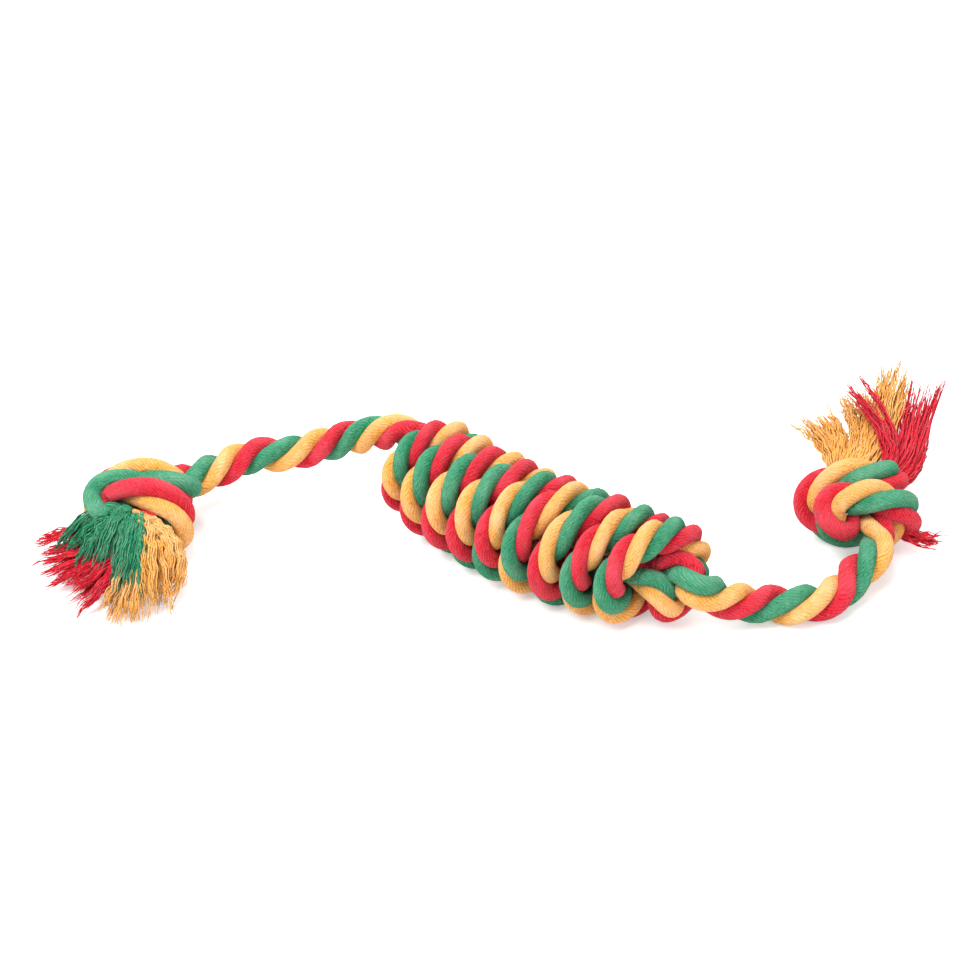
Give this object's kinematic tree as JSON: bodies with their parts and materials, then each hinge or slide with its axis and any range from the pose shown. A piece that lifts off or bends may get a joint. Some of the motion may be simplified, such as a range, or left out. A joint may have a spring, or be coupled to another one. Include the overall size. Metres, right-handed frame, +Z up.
{
  "type": "rope dog toy",
  "caption": "Rope dog toy: three-strand cotton rope wound into a long coil, with a knotted arm and a frayed tassel at each end.",
  "frame": {"origin": "centre of the bounding box in plan, on the surface that the coil lies on", "axes": "+Z up; +X from the left tassel to the right one, along the toy as laid; -Y towards the viewer of the picture"},
  "size_m": [0.2898, 0.1094, 0.0388],
  "materials": {
    "green_cotton": "soft dyed cotton yarn, matt",
    "red_cotton": "soft dyed cotton yarn, matt",
    "yellow_cotton": "soft dyed cotton yarn, matt"
  },
  "bodies": {
    "coil": {"winding_green": "green_cotton", "winding_red": "red_cotton", "winding_yellow": "yellow_cotton", "inner_bight_green": "green_cotton", "inner_bight_red": "red_cotton", "inner_bight_yellow": "yellow_cotton", "inner_run_green": "green_cotton", "inner_run_red": "red_cotton", "inner_run_yellow": "yellow_cotton", "left_arm_green": "green_cotton", "left_arm_red": "red_cotton", "left_arm_yellow": "yellow_cotton", "right_arm_green": "green_cotton", "right_arm_red": "red_cotton", "right_arm_yellow": "yellow_cotton"},
    "left_end": {"left_knot_green": "green_cotton", "left_knot_red": "red_cotton", "left_knot_yellow": "yellow_cotton", "left_tassel_green": "green_cotton", "left_tassel_red": "red_cotton", "left_tassel_yellow": "yellow_cotton"},
    "right_end": {"right_knot_green": "green_cotton", "right_knot_red": "red_cotton", "right_knot_yellow": "yellow_cotton", "right_tassel_green": "green_cotton", "right_tassel_red": "red_cotton", "right_tassel_yellow": "yellow_cotton"}
  },
  "joints": [
    {"name": "left_arm_bend", "type": "hinge", "parent": "coil", "child": "left_end", "pos_m": [-0.07311, 0.0285, 0.013], "axis": [0, 0, 1], "range_deg": [-45, 45], "deforming": ["left_arm_green", "left_arm_red", "left_arm_yellow"]},
    {"name": "right_arm_bend", "type": "hinge", "parent": "coil", "child": "right_end", "pos_m": [0.08089, -0.043, 0.0066], "axis": [0, 0, 1], "range_deg": [-45, 45], "deforming": ["right_arm_green", "right_arm_red", "right_arm_yellow"]}
  ]
}
